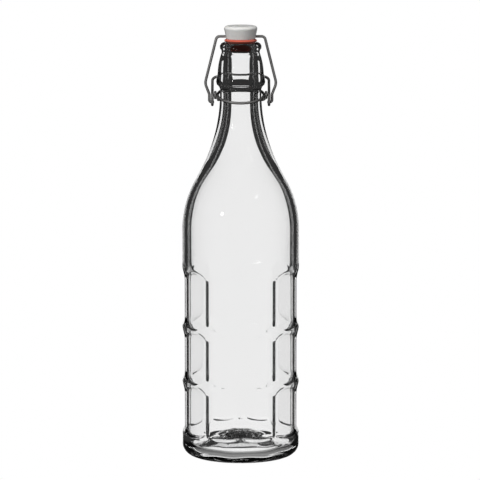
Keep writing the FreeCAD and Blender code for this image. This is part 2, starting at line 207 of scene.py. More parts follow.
card = flat_sheet("card", CARD_WIDTH, CARD_HEIGHT, glow("card_light", (1, 1, 1), 1))
card.parent = camera
card.location = (0, 0, -CAMERA_DISTANCE - CARD_BEHIND)
card.visible_camera = False
card.visible_diffuse = False

floor_light = bpy.data.materials.new("floor_light")
floor_light.use_nodes = True
tree = floor_light.node_tree
tree.nodes.clear()
spot = add(tree, "ShaderNodeTexCoord").outputs["Object"]
spot = add(tree, "ShaderNodeVectorMath", {"operation": "LENGTH"}, Vector=spot).outputs["Value"]
near = maths(tree, "SUBTRACT", 1, maths(tree, "DIVIDE", spot, PAPER_RADIUS))
near = maths(tree, "MAXIMUM", near, 0)
seen = add(tree, "ShaderNodeLightPath").outputs["Is Camera Ray"]
solid = add(tree, "ShaderNodeMixShader", Fac=maths(tree, "MAXIMUM", near, seen))
tree.links.new(add(tree, "ShaderNodeBsdfTransparent").outputs[0], solid.inputs[1])
tree.links.new(add(tree, "ShaderNodeEmission").outputs[0], solid.inputs[2])
tree.links.new(solid.outputs[0], add(tree, "ShaderNodeOutputMaterial").inputs["Surface"])
floor = flat_sheet("floor", 6, 6, floor_light)
floor.visible_glossy = False

world = bpy.data.worlds.new("room")
scene.world = world
world.use_nodes = True
room = world.node_tree
room.nodes.clear()
seen = add(room, "ShaderNodeLightPath").outputs["Is Camera Ray"]
brightness = maths(room, "MAXIMUM", seen, ROOM_LIGHT)
walls = add(room, "ShaderNodeBackground", Color=(1, 1, 1, 1), Strength=brightness)
room.links.new(walls.outputs[0], add(room, "ShaderNodeOutputWorld").inputs["Surface"])

# Small bright lamps make the highlights. Large dim ones light what isn't glass, and don't show in it.
soft_box("key", -39, 17, 1.2, 0.06, 0.06, 0.3)
soft_box("spark", 41, 36, 1.2, 0.12, 0.08, 0.06)
for name, azimuth, elevation, size, power in (
    ("wash_left", -45, 35, 0.8, 17),
    ("wash_right", 60, 20, 0.6, 5),
    ("wash_top", 0, 75, 0.6, 8),
):
    wash = soft_box(name, azimuth, elevation, 1.5, size, size, power)
    wash.visible_glossy = False
    wash.visible_transmission = False
scene.view_settings.view_transform = "Standard"
print("lights:", len(bpy.data.lights))

# %% [markdown]
# Shared surface effects
#
# No real surface is even. A small node group gives every finish the same three kinds of unevenness:
# broad cloudy changes, fine grain, and a height for the bump. Each material takes its own sizes and
# strengths, and decides what the masks do.


# %% Shared effects
def effect_group(name, inputs, outputs):
    tree = bpy.data.node_groups.new(name, "ShaderNodeTree")
    for label, default in inputs.items():
        kind = "NodeSocketVector" if default is None else "NodeSocketFloat"
        socket = tree.interface.new_socket(label, in_out="INPUT", socket_type=kind)
        if default is not None:
            socket.default_value = default
    for label in outputs:
        tree.interface.new_socket(label, in_out="OUTPUT", socket_type="NodeSocketFloat")
    return tree, tree.nodes.new("NodeGroupInput").outputs, tree.nodes.new("NodeGroupOutput").inputs


unevenness, given, gives = effect_group(
    "unevenness",
    {"Vector": None, "Cloud Size": 100, "Grain Size": 2000},
    ["Cloud", "Grain", "Height"],
)
cloud = add(
    unevenness,
    "ShaderNodeTexNoise",
    Vector=given["Vector"],
    Scale=given["Cloud Size"],
    Detail=3,
)
grain = add(
    unevenness,
    "ShaderNodeTexNoise",
    Vector=given["Vector"],
    Scale=given["Grain Size"],
    Detail=2,
)
unevenness.links.new(cloud.outputs["Fac"], gives["Cloud"])
unevenness.links.new(grain.outputs["Fac"], gives["Grain"])
both = maths(unevenness, "MULTIPLY_ADD", cloud.outputs["Fac"], 0.6, grain.outputs["Fac"])
unevenness.links.new(both, gives["Height"])


def new_finish(name):
    """A material with one Principled shader, and where its Object coordinates come from."""
    material = bpy.data.materials.new(name)
    material.use_nodes = True
    tree = material.node_tree
    shader = tree.nodes["Principled BSDF"]
    place = add(tree, "ShaderNodeTexCoord").outputs["Object"]
    return material, tree, shader, place


def uneven(tree, vector, cloud_size, grain_size):
    group = tree.nodes.new("ShaderNodeGroup")
    group.node_tree = unevenness
    for key, value in {"Vector": vector, "Cloud Size": cloud_size, "Grain Size": grain_size}.items():
        feed(tree, group.inputs[key], value)
    return group.outputs


def spread(tree, mask, low, high):
    """A mask from 0 to 1, brought to the range from low to high."""
    return maths(tree, "MULTIPLY_ADD", mask, high - low, low)


def tinted(tree, mask, dark, light):
    """A colour between two, chosen by a mask."""
    node = tree.nodes.new("ShaderNodeMix")
    node.data_type = "RGBA"
    feed(tree, node.inputs["Factor"], mask)
    node.inputs["A"].default_value = (*dark, 1)
    node.inputs["B"].default_value = (*light, 1)
    return node.outputs["Result"]


def bumped(tree, shader, height, depth):
    bump = add(tree, "ShaderNodeBump", Height=height, Distance=depth)
    tree.links.new(bump.outputs[0], shader.inputs["Normal"])


# %% [markdown]
# The glass finish
#
# White flint glass is nearly free of colour. It is smooth from the fire, but the mould and the blowing
# leave it a little wavy, and those waves are what break up the dark edges into streaks. The waves are
# long and shallow, so a bump made of soft noise gives them.

# %% Clear glass
WAVES_PER_METRE = 9
clear_glass, tree, shader, place = new_finish("clear_glass")
shader.inputs["Base Color"].default_value = (0.985, 0.985, 0.985, 1)
shader.inputs["Transmission Weight"].default_value = 1
shader.inputs["IOR"].default_value = 1.5
masks = uneven(tree, place, WAVES_PER_METRE, 60)
shader.inputs["Roughness"].default_value = 0
bumped(tree, shader, masks["Cloud"], 0.05 * MM)
print("glass waves are about", round(1000 / WAVES_PER_METRE), "mm long")

# %% [markdown]
# The bottle's turned blank
#
# Glass runs from the push-up under the base, round the heel, up the wall, over the lip and down the
# inside to the floor, and never stops: light has to cross a closed wall. The outline is a list of
# corners with their arcs, as a mould maker would draw it. walked() and spaced() follow it and set rows
# close together where the shape changes quickly, and far apart where it is plain.

# %% Outline of the glass
body_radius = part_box("bottle")[1].x / MM
lip_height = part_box("bottle")[1].z / MM
WALL = 4.0
INNER_RADIUS = body_radius - WALL
NECK_RADIUS = 15.2
NECK_INNER_RADIUS = 9.8
SHOULDER_HEIGHT = 168.0
SHOULDER_BEND = 74.0
SHOULDER_SLOPE = 10.0
FLARE_HEIGHT = 268.0
INNER_FLARE_HEIGHT = 262.0
MOUTH_RADIUS = 9.0
LIP_BEND = 3.3
LIP_MIDDLE = lip_height - LIP_BEND
LIP_CROWN = 12.05
WAIST_RADIUS = 13.5
FOOT_RADIUS = 35.0
HEEL_BEND = 8.0
PUSH_UP = (31.0, 13.0)
FLOOR_TOP = 18.5
FLOOR_EDGE = 5.0
INNER_HEEL_BEND = 7.5


def dome_bend(half_width, height):
    return (half_width**2 + height**2) / (2 * height)


def s_curve(low, low_height, high, high_height, low_bend, slope):
    """The two ends of the straight slope of a shoulder, and the bend of its upper arc."""
    width, rise = low - high, high_height - low_height
    reach = (width**2 + rise**2 - slope**2) / (2 * width)
    high_bend = reach - low_bend
    squared = reach**2 + slope**2
    cosine = (reach * (reach - width) + slope * rise) / squared
    sine = (reach * rise - slope * (reach - width)) / squared
    foot = (low - low_bend * (1 - cosine), low_height + low_bend * sine)
    head = (high + high_bend * (1 - cosine), high_height - high_bend * sine)
    return foot, head, high_bend


def beside(radius, crown):
    """How far below the lip's middle its round edge meets a wall of this radius."""
    return math.sqrt(LIP_BEND**2 - (radius - crown) ** 2)


foot, head, flare = s_curve(
    body_radius, SHOULDER_HEIGHT, NECK_RADIUS, FLARE_HEIGHT, SHOULDER_BEND, SHOULDER_SLOPE
)
in_foot, in_head, in_flare = s_curve(
    INNER_RADIUS,
    SHOULDER_HEIGHT,
    NECK_INNER_RADIUS,
    INNER_FLARE_HEIGHT,
    SHOULDER_BEND - WALL,
    SHOULDER_SLOPE,
)
floor_edge = INNER_RADIUS - INNER_HEEL_BEND

# Each entry is (radius, height, bend of the arc that leads here, side of its centre).
outside = [
    (0, PUSH_UP[1], 0, 0),
    (PUSH_UP[0] - 1.2, 0.75, dome_bend(*PUSH_UP), -1),
    (PUSH_UP[0] + 0.6, 0, 2.4, 1),
    (FOOT_RADIUS, 0, 0, 0),
    (body_radius, HEEL_BEND, HEEL_BEND, 1),
    (body_radius, SHOULDER_HEIGHT, 0, 0),
    (*foot, SHOULDER_BEND, 1),
    (*head, 0, 0),
    (NECK_RADIUS, FLARE_HEIGHT, flare, -1),
    (NECK_RADIUS, 271.9, 0, 0),
    (NECK_RADIUS + 0.5, 272.9, 1.2, -1),
    (NECK_RADIUS + 2.2, 274.7, 0, 0),
    (18.0, 276.3, 2.4, 1),
    (17.55, 279.6, 0, 0),
    (16.9, 281.4, 3.0, 1),
    (WAIST_RADIUS, LIP_MIDDLE - beside(WAIST_RADIUS, LIP_CROWN), 50.0, 1),
    (LIP_CROWN, lip_height, LIP_BEND, 1),
]
inside = [
    (MOUTH_RADIUS, LIP_MIDDLE - beside(MOUTH_RADIUS, LIP_CROWN), LIP_BEND, 1),
    (MOUTH_RADIUS, lip_height - 8.0, 0, 0),
    (NECK_INNER_RADIUS, lip_height - 10.5, 0, 0),
    (NECK_INNER_RADIUS, INNER_FLARE_HEIGHT, 0, 0),
    (*in_head, in_flare, 1),
    (*in_foot, 0, 0),
    (INNER_RADIUS, SHOULDER_HEIGHT, SHOULDER_BEND - WALL, -1),
    (INNER_RADIUS, FLOOR_EDGE + INNER_HEEL_BEND, 0, 0),
    (floor_edge, FLOOR_EDGE, INNER_HEEL_BEND, -1),
    (0, FLOOR_TOP, dome_bend(floor_edge, FLOOR_TOP - FLOOR_EDGE), 1),
]
print("wall", WALL, "mm, shoulder from", SHOULDER_HEIGHT, "to", FLARE_HEIGHT, "mm")

# %% Walk along an outline
WALK_STEP = 0.05


def walked(outline):
    """Points about a twentieth of a millimetre apart along straight runs and arcs."""
    points = [Vector(outline[0][:2])]
    for radius, height, bend, side in outline[1:]:
        start, end = points[-1], Vector((radius, height))
        run = end - start
        if not bend:
            steps = max(1, round(run.length / WALK_STEP))
            points += [start + run * (i / steps) for i in range(1, steps + 1)]
            continue
        upright = Vector((-run.y, run.x)).normalized()
        drop = math.sqrt(max(bend**2 - (run.length / 2) ** 2, 0))
        centre = (start + end) / 2 + upright * drop * side
        first = math.atan2(*(start - centre).yx)
        turn = math.remainder(math.atan2(*(end - centre).yx) - first, math.tau)
        steps = max(2, round(abs(turn) * bend / WALK_STEP))
        for i in range(1, steps + 1):
            angle = first + turn * i / steps
            points.append(centre + Vector((math.cos(angle), math.sin(angle))) * bend)
        points[-1] = end
    return points


def spaced(points, spacing):
    """Keeps the points that lie spacing(point) apart, and always the last one."""
    kept, owed = [points[0]], 0.0
    for before, here in zip(points, points[1:]):
        owed += (here - before).length / spacing(here)
        if owed >= 1:
            kept.append(here)
            owed -= 1
    if (kept[-1] - points[-1]).length > WALK_STEP:
        kept.append(points[-1])
    else:
        kept[-1] = points[-1]
    return kept


# %% [markdown]
# Rings of points
#
# The blank is rings of points joined by faces. The band with the panels needs rings of 360 points, and
# the rest of the bottle is round and plain, where 120 are enough. A ring with many points is joined to
# one with few by triangles, on plain wall, where nobody sees the change.

# %% Rings and faces
PANELS = 10
FEW = 12
MANY = 36
CROWDING = 1.25


def panel_angles(count):
    """Angles across one panel, in radians from its middle, crowded towards the seams."""
    half = math.pi / PANELS
    angles = []
    for i in range(count):
        share = 2 * i / count - 1
        angles.append(math.copysign(half * (1 - (1 - abs(share)) ** CROWDING), share))
    return angles


def ring_angles(count):
    pitch = math.tau / PANELS
    across = panel_angles(count)
    return [panel * pitch + angle for panel in range(PANELS) for angle in across]


def joined(low, high):
    """Faces between two rings of point numbers. One ring may have a multiple of the other's points."""
    if len(low) < len(high):
        return [face[::-1] for face in joined(high, low)]
    many, few, share = len(low), len(high), len(low) // len(high)
    faces = []
    for i in range(few):
        here, after = high[i], high[(i + 1) % few]
        fine = [low[(i * share + k) % many] for k in range(share + 1)]
        if share == 1:
            faces.append((fine[0], fine[1], after, here))
            continue
        middle = share // 2 + 1
        faces += [(fine[k], fine[k + 1], here) for k in range(middle)]
        faces += [(fine[k], fine[k + 1], after) for k in range(middle, share)]
        faces.append((fine[middle], after, here))
    return faces


def turned(name, rows, counts):
    """A mesh of rings. A row on the axis becomes one point, closed with triangles."""
    points, rings = [], []
    for row, count in zip(rows, counts):
        on_axis = row.x < WALK_STEP
        angles = [0] if on_axis else ring_angles(count)
        rings.append(range(len(points), len(points) + len(angles)))
        points += [
            Vector((row.x * math.cos(a), row.x * math.sin(a), row.y)) * MM for a in angles
        ]
    faces = []
    for low, high in zip(rings, rings[1:]):
        if len(low) == 1:
            faces += [(low[0], high[(i + 1) % len(high)], high[i]) for i in range(len(high))]
        elif len(high) == 1:
            faces += [(low[i], low[(i + 1) % len(low)], high[0]) for i in range(len(low))]
        else:
            faces += joined(low, high)
    mesh = bpy.data.meshes.new(name)
    mesh.from_pydata(points, [], faces)
    mesh.update()
    return mesh


# %% Blank
LOWER_JOINT = 55.4
UPPER_JOINT = 95.9
ROWS_BOTTOM = 17.0
ROWS_TOP = 139.6
ROW_ENDS = [ROWS_BOTTOM + 2, LOWER_JOINT, UPPER_JOINT, ROWS_TOP - 4]


def outer_spacing(point):
    if point.x < PUSH_UP[0] - 3:
        return 2.0
    if point.y < ROWS_BOTTOM - 3:
        return 0.5
    if point.y < ROWS_TOP + 3:
        return 0.6 if min(abs(point.y - end) for end in ROW_ENDS) < 9.5 else 2.0
    if point.y < FLARE_HEIGHT:
        return 2.0
    return 0.4


def inner_spacing(point):
    if point.y > lip_height - 12:
        return 0.45
    if point.y < ROWS_BOTTOM:
        return 1.0
    return 2.0


outer_rows = spaced(walked(outside), outer_spacing)
inner_rows = spaced(walked([outside[-1], *inside]), inner_spacing)[1:]
panel_zone = (ROWS_BOTTOM - 2, ROWS_TOP + 2)
counts = [MANY if panel_zone[0] < row.y < panel_zone[1] else FEW for row in outer_rows]
counts += [FEW] * len(inner_rows)
blank = turned("glass_blank", outer_rows + inner_rows, counts)
skin = blank.attributes.new("inside", "FLOAT", "POINT")
first_inner = len(blank.vertices) - (len(inner_rows) - 1) * FEW * PANELS - 1
skin.data.foreach_set(
    "value", [float(i >= first_inner) for i in range(len(blank.vertices))]
)
print(len(outer_rows), "rows outside,", len(inner_rows), "inside")

# %% [markdown]
# Pressed panels
#
# The panels follow a rule: a flat stands at a fixed depth inside the round wall, and curves out of it
# above and below. Seen round the bottle, a flat at distance d from the axis lies at d / cos(angle), and
# the glass is whichever is nearer the axis, the wall or the flat. That is a sum for each point, so a
# geometry tree does it: change the number of panels or their depth and the bottle follows. A smooth
# minimum rounds the edges as fire-polished glass is. The inside follows most of the way, but softly, and
# its floor has shallow folds that spread from the middle.


# %% Panel tree
panels, given, result = shape_tree(
    "pressed_panels",
    {
        "Panels": "NodeSocketInt",
        "Wall Radius": "NodeSocketFloat",
        "Depth": "NodeSocketFloat",
        "Arch": "NodeSocketFloat",
        "Bottom Arch": "NodeSocketFloat",
        "Edge Rounding": "NodeSocketFloat",
        "Inside Rounding": "NodeSocketFloat",
        "Inside Follows": "NodeSocketFloat",
        "Ripple": "NodeSocketFloat",
        "Folds": "NodeSocketInt",
        "Fold Depth": "NodeSocketFloat",
        "Material": "NodeSocketMaterial",
    },
)


def ramp(tree, overshoot, arch, depth):
    """How far a flat has curved out, this far past the place where its arch would reach the wall."""
    run = maths(
        tree,
        "SQRT",
        maths(
            tree,
            "SUBTRACT",
            maths(tree, "MULTIPLY", maths(tree, "MULTIPLY", 2, arch), depth),
            maths(tree, "MULTIPLY", depth, depth),
        ),
    )
    past = maths(tree, "MAXIMUM", maths(tree, "ADD", overshoot, run), 0)
    inner = maths(
        tree,
        "SUBTRACT",
        maths(tree, "MULTIPLY", arch, arch),
        maths(tree, "MULTIPLY", past, past),
    )
    return maths(tree, "SUBTRACT", arch, maths(tree, "SQRT", maths(tree, "MAXIMUM", inner, 0)))


position = add(panels, "GeometryNodeInputPosition").outputs[0]
split = add(panels, "ShaderNodeSeparateXYZ", Vector=position)
x, y, z = split.outputs
angle = maths(panels, "ARCTAN2", y, x)
pitch = maths(panels, "DIVIDE", math.tau, given["Panels"])
nearest = maths(panels, "ROUND", maths(panels, "DIVIDE", angle, pitch))
from_middle = maths(panels, "SUBTRACT", angle, maths(panels, "MULTIPLY", nearest, pitch))
flat = maths(panels, "SUBTRACT", given["Wall Radius"], given["Depth"])
is_inside = add(
    panels, "GeometryNodeInputNamedAttribute", {"data_type": "FLOAT"}, Name="inside"
).outputs["Attribute"]
rounding = add(
    panels, "ShaderNodeMix", Factor=is_inside, A=given["Edge Rounding"], B=given["Inside Rounding"]
).outputs[0]
HALF_GAP = 0.8
surface = given["Wall Radius"]
for low, high, low_arch in (
    (ROWS_BOTTOM, LOWER_JOINT - HALF_GAP, "Bottom Arch"),
    (LOWER_JOINT + HALF_GAP, UPPER_JOINT - HALF_GAP, "Arch"),
    (UPPER_JOINT + HALF_GAP, ROWS_TOP, "Arch"),
):
    above = ramp(panels, maths(panels, "SUBTRACT", z, high * MM), given["Arch"], given["Depth"])
    below = ramp(panels, maths(panels, "SUBTRACT", low * MM, z), given[low_arch], given["Depth"])
    face = maths(panels, "ADD", flat, maths(panels, "ADD", above, below))
    face = maths(panels, "DIVIDE", face, maths(panels, "COSINE", from_middle))
    surface = maths(panels, "SMOOTH_MIN", surface, face, rounding)
drop = maths(panels, "SUBTRACT", given["Wall Radius"], surface)
share = add(panels, "ShaderNodeMix", Factor=is_inside, A=1.0, B=given["Inside Follows"]).outputs[0]
drop = maths(panels, "MULTIPLY", drop, share)
radius = add(panels, "ShaderNodeCombineXYZ", X=x, Y=y).outputs[0]
radius = add(panels, "ShaderNodeVectorMath", {"operation": "LENGTH"}, Vector=radius).outputs["Value"]
radius = maths(panels, "MAXIMUM", radius, MM)
inward = add(panels, "ShaderNodeCombineXYZ", X=x, Y=y).outputs[0]
pushed = add(
    panels,
    "ShaderNodeVectorMath",
    {"operation": "SCALE"},
    Vector=inward,
    Scale=maths(panels, "DIVIDE", maths(panels, "MULTIPLY", drop, -1), radius),
).outputs[0]
waves = add(panels, "ShaderNodeTexNoise", Vector=position, Scale=30.0, Detail=1.0).outputs["Fac"]
ripple = maths(panels, "MULTIPLY", maths(panels, "SUBTRACT", waves, 0.5), given["Ripple"])
on_floor = maths(panels, "LESS_THAN", z, (FLOOR_TOP + 0.5) * MM)
fold = maths(panels, "COSINE", maths(panels, "MULTIPLY", angle, given["Folds"]))
outward = maths(panels, "DIVIDE", radius, given["Wall Radius"])
fold = maths(panels, "MULTIPLY", maths(panels, "MULTIPLY", fold, outward), given["Fold Depth"])
ripple = maths(panels, "MULTIPLY_ADD", fold, on_floor, ripple)
rippled = add(
    panels,
    "ShaderNodeVectorMath",
    {"operation": "SCALE"},
    Vector=add(panels, "GeometryNodeInputNormal").outputs[0],
    Scale=maths(panels, "MULTIPLY", ripple, is_inside),
).outputs[0]
offset = add(panels, "ShaderNodeVectorMath", {"operation": "ADD"})
panels.links.new(pushed, offset.inputs[0])
panels.links.new(rippled, offset.inputs[1])
pressed = add(
    panels, "GeometryNodeSetPosition", Geometry=given["Geometry"], Offset=offset.outputs[0]
)
finish_shape(panels, pressed.outputs[0], given["Material"], result)

bottle = shaped(
    "bottle_glass",
    blank,
    panels,
    {
        "Panels": PANELS,
        "Wall Radius": body_radius * MM,
        "Depth": 1.95 * MM,
        "Arch": 14.0 * MM,
        "Bottom Arch": 4.0 * MM,
        "Edge Rounding": 0.3 * MM,
        "Inside Rounding": 2.0 * MM,
        "Inside Follows": 0.9,
        "Ripple": 0.12 * MM,
        "Folds": 9,
        "Fold Depth": 0.22 * MM,
        "Material": clear_glass,
    },
)

# %% Put the glass on its body
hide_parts("bottle")
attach(bottle, "bottle")

# %% [markdown]
# The white stopper
#
# The stopper is a tapered head with a softly rounded rim and a slightly dished top. A stem runs down
# through the rubber ring and ends in a nose button that keeps the ring on. All of it is turned, so the
# outline is walked and spun like the glass. The wire's bar runs through a bore in the head, which a
# Boolean modifier drills with a plain rod.

# %% White stopper finish
white_stopper, tree, shader, place = new_finish("white_stopper")
masks = uneven(tree, place, 160, 1400)
colour = tinted(tree, masks["Cloud"], (0.74, 0.73, 0.70), (0.84, 0.84, 0.83))
feed(tree, shader.inputs["Base Color"], colour)
feed(tree, shader.inputs["Roughness"], spread(tree, masks["Grain"], 0.18, 0.34))
shader.inputs["Coat Weight"].default_value = 0.3
shader.inputs["Coat Roughness"].default_value = 0.12
shader.inputs["Subsurface Weight"].default_value = 0.08
shader.inputs["Subsurface Radius"].default_value = (1.2 * MM, 1.0 * MM, 0.8 * MM)
bumped(tree, shader, masks["Height"], 0.02 * MM)

# %% Stopper
ROUND_STEPS = 96
WIRE_RADIUS = 1.0
BAR_HEIGHT = 309.9
GASKET_TOP = 308.1
GASKET_BOTTOM = 300.8
STEM_RADIUS = 5.0
stopper_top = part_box("stopper")[1].z / MM
stopper_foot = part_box("stopper")[0].z / MM
stopper_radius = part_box("stopper")[1].x / MM


def spun(name, outline, spacing, material, steps=ROUND_STEPS):
    """A closed turned solid. The outline runs from the axis to the axis, or back to its own start."""
    rows = spaced(walked(outline), lambda point: spacing)
    ring = [math.tau * i / steps for i in range(steps)]
    shut = (rows[0] - rows[-1]).length < WALK_STEP
    rows = rows[:-1] if shut else rows
    points, rings = [], []
    for row in rows:
        angles = [0] if row.x < WALK_STEP else ring
        rings.append(list(range(len(points), len(points) + len(angles))))
        points += [Vector((row.x * math.cos(a), row.x * math.sin(a), row.y)) * MM for a in angles]
    faces = []
    for low, high in zip(rings, rings[1:] + (rings[:1] if shut else [])):
        if len(low) == 1:
            faces += [(low[0], high[(i + 1) % steps], high[i]) for i in range(steps)]
        elif len(high) == 1:
            faces += [(low[i], low[(i + 1) % steps], high[0]) for i in range(steps)]
        else:
            faces += joined(low, high)
    mesh = bpy.data.meshes.new(name)
    mesh.from_pydata(points, [], faces)
    mesh.materials.append(material)
    mesh.shade_smooth()
    made = bpy.data.objects.new(name, mesh)
    scene.collection.objects.link(made)
    return made


def drilled(solid, radius, height):
    """Takes a bore along X out of a solid, and keeps its edges crisp."""
    rod = bpy.data.meshes.new("rod")
    count, reach = 32, 20
    ring = [math.tau * i / count for i in range(count)]
    points = [
        Vector((x, radius * math.cos(a), height + radius * math.sin(a))) * MM
        for x in (-reach, reach)
        for a in ring
    ]
    faces = [tuple(range(count))[::-1], tuple(range(count, 2 * count))]
    faces += [(i, (i + 1) % count, count + (i + 1) % count, count + i) for i in range(count)]
    rod.from_pydata(points, [], faces)
    tool = bpy.data.objects.new("rod", rod)
    scene.collection.objects.link(tool)
    modifier = solid.modifiers.new("bore", "BOOLEAN")
    modifier.object = tool
    modifier.operation = "DIFFERENCE"
    modifier.solver = "EXACT"
    ready = solid.evaluated_get(bpy.context.evaluated_depsgraph_get())
    mesh = bpy.data.meshes.new_from_object(ready)
    solid.modifiers.clear()
    solid.data = mesh
    mesh.set_sharp_from_angle(angle=math.radians(50))
    bpy.data.objects.remove(tool)
    return solid


stopper = spun(
    "stopper_head",
    [
        (0, stopper_foot, 0, 0),
        (5.4, stopper_foot, 0, 0),
        (6.2, stopper_foot + 0.8, 0.8, 1),
        (6.2, GASKET_BOTTOM - 0.3, 0, 0),
        (5.9, GASKET_BOTTOM, 0.3, 1),
        (STEM_RADIUS, GASKET_BOTTOM, 0, 0),
        (STEM_RADIUS, GASKET_TOP, 0, 0),
        (10.2, GASKET_TOP, 0, 0),
        (10.75, GASKET_TOP + 0.5, 0.5, 1),
        (stopper_radius - 0.12, stopper_top - 2.4, 0, 0),
        (stopper_radius - 1.5, stopper_top, 1.9, 1),
        (stopper_radius - 2.6, stopper_top - 0.12, 3.0, 1),
        (0, stopper_top - 0.55, 0, 0),
    ],
    0.3,
    white_stopper,
)
drilled(stopper, WIRE_RADIUS + 0.25, BAR_HEIGHT)
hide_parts("stopper")
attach(stopper, "stopper")
print("stopper from", round(stopper_foot, 1), "to", round(stopper_top, 1), "mm")

# %% [markdown]
# The red rubber ring
#
# The ring is two cones back to back: a thin flat brim under the stopper, and a taper that reaches down
# into the mouth and seals on the round lip. Rubber is matt, with a bloom of fine dust, and light goes a
# little way into it, so its edges glow.

# %% Red rubber finish
red_rubber, tree, shader, place = new_finish("red_rubber")
masks = uneven(tree, place, 220, 2600)
colour = tinted(tree, masks["Cloud"], (0.50, 0.085, 0.05), (0.64, 0.13, 0.085))
feed(tree, shader.inputs["Base Color"], colour)
feed(tree, shader.inputs["Roughness"], spread(tree, masks["Grain"], 0.42, 0.62))
shader.inputs["Subsurface Weight"].default_value = 0.12
shader.inputs["Subsurface Radius"].default_value = (1.0 * MM, 0.35 * MM, 0.2 * MM)
shader.inputs["Sheen Weight"].default_value = 0.15
bumped(tree, shader, masks["Grain"], 0.03 * MM)

# %% Rubber ring
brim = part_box("gasket")[1].x / MM
gasket = spun(
    "rubber_ring",
    [
        (STEM_RADIUS + 0.1, GASKET_BOTTOM, 0, 0),
        (6.9, GASKET_BOTTOM, 0, 0),
        (7.22, GASKET_BOTTOM + 0.35, 0.4, 1),
        (7.9, 303.6, 0, 0),
        (brim - 0.25, GASKET_TOP - 1.4, 0, 0),
        (brim - 0.2, GASKET_TOP - 0.9, 0.3, 1),
        (10.8, GASKET_TOP, 0, 0),
        (STEM_RADIUS + 0.1, GASKET_TOP, 0, 0),
        (STEM_RADIUS + 0.1, GASKET_BOTTOM, 0, 0),
    ],
    0.25,
    red_rubber,
)
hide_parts("gasket")
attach(gasket, "stopper")
print("rubber ring is", round(2 * brim, 1), "mm across")

# %% [markdown]
# Drawn steel wire
#
# Wire is pulled through a die, which leaves fine lines along it. The finish needs to know which way
# the wire runs, so the shape tree stores the distance along and round the wire as a UV map, and the
# lines are a noise stretched along it. A round wire in a dark room looks bright along its middle and dark
# at its sides; here that is painted shade, put into its colour, which turns near-black towards the
# wire's outline. It is dull enough that some light rests on it, so its shader is only partly metal.

# %% Steel wire finish
steel_wire = bpy.data.materials.new("steel_wire")
steel_wire.use_nodes = True
tree = steel_wire.node_tree
shader = tree.nodes["Principled BSDF"]
shader.inputs["Metallic"].default_value = 0.6
along = add(tree, "ShaderNodeUVMap", {"uv_map": "wire_uv"}).outputs[0]
lines = add(
    tree, "ShaderNodeMapping", Vector=along, Scale=(14.0, 160.0, 1.0)
).outputs[0]
drawn = uneven(tree, lines, 1.0, 3.0)
place = add(tree, "ShaderNodeTexCoord").outputs["Object"]
patches = uneven(tree, place, 180, 900)
tarnish = maths(tree, "MULTIPLY", patches["Cloud"], drawn["Cloud"])
bright = tinted(tree, tarnish, (0.60, 0.59, 0.58), (0.95, 0.94, 0.92))
# Painted shade: the colour is mixed towards near-black where the wire turns away from the view, so its
# sides look dark.
side = add(tree, "ShaderNodeLayerWeight", Blend=0.5).outputs["Facing"]
side = maths(tree, "POWER", side, 0.4)
painted_side_shade = add(tree, "ShaderNodeMix", {"data_type": "RGBA"}, Factor=side, A=bright)
painted_side_shade.inputs["B"].default_value = (0.02, 0.02, 0.02, 1)
tree.links.new(painted_side_shade.outputs["Result"], shader.inputs["Base Color"])
feed(tree, shader.inputs["Roughness"], spread(tree, drawn["Grain"], 0.24, 0.44))
bumped(tree, shader, drawn["Height"], 0.015 * MM)

# %% [markdown]
# Bent wire
#
# A wire former thinks in straight runs, bends and one gauge, and so does this tree. The script gives
# only the corners and the bend radius at each; the tree rounds the corners, runs a circle of the
# wire's gauge along the path and closes the ends. Every wire of the closure comes from it.

# %% Wire tree
wire_tree, given, result = shape_tree(
    "drawn_wire",
    {
        "Gauge": "NodeSocketFloat",
        "Round Steps": "NodeSocketInt",
        "Bend Steps": "NodeSocketInt",
        "Material": "NodeSocketMaterial",
    },
)
path = add(wire_tree, "GeometryNodeMeshToCurve", Mesh=given["Geometry"]).outputs[0]
bend = add(
    wire_tree, "GeometryNodeInputNamedAttribute", {"data_type": "FLOAT"}, Name="bend"
).outputs["Attribute"]
path = add(
    wire_tree,
    "GeometryNodeFilletCurve",
    {"mode": "POLY"},
    Curve=path,
    Count=given["Bend Steps"],
    Radius=bend,
).outputs[0]
length = add(wire_tree, "GeometryNodeSplineParameter").outputs["Length"]
path = add(
    wire_tree,
    "GeometryNodeStoreNamedAttribute",
    {"data_type": "FLOAT", "domain": "POINT"},
    Geometry=path,
    Name="along",
    Value=length,
).outputs[0]
section = add(
    wire_tree,
    "GeometryNodeCurvePrimitiveCircle",
    Resolution=given["Round Steps"],
    Radius=maths(wire_tree, "MULTIPLY", given["Gauge"], 0.5),
).outputs[0]
share = add(wire_tree, "GeometryNodeSplineParameter").outputs["Factor"]
section = add(
    wire_tree,
    "GeometryNodeStoreNamedAttribute",
    {"data_type": "FLOAT", "domain": "POINT"},
    Geometry=section,
    Name="round",
    Value=share,
).outputs[0]
tube = add(wire_tree, "GeometryNodeCurveToMesh", Curve=path, Profile_Curve=section)
tube.inputs["Fill Caps"].default_value = True
across, down = (
    add(
        wire_tree, "GeometryNodeInputNamedAttribute", {"data_type": "FLOAT"}, Name=name
    ).outputs["Attribute"]
    for name in ("round", "along")
)
mapped = add(
    wire_tree,
    "GeometryNodeStoreNamedAttribute",
    {"data_type": "FLOAT2", "domain": "CORNER"},
    Geometry=tube.outputs[0],
    Name="wire_uv",
    Value=add(wire_tree, "ShaderNodeCombineXYZ", X=across, Y=down).outputs[0],
).outputs[0]
finish_shape(wire_tree, mapped, given["Material"], result)


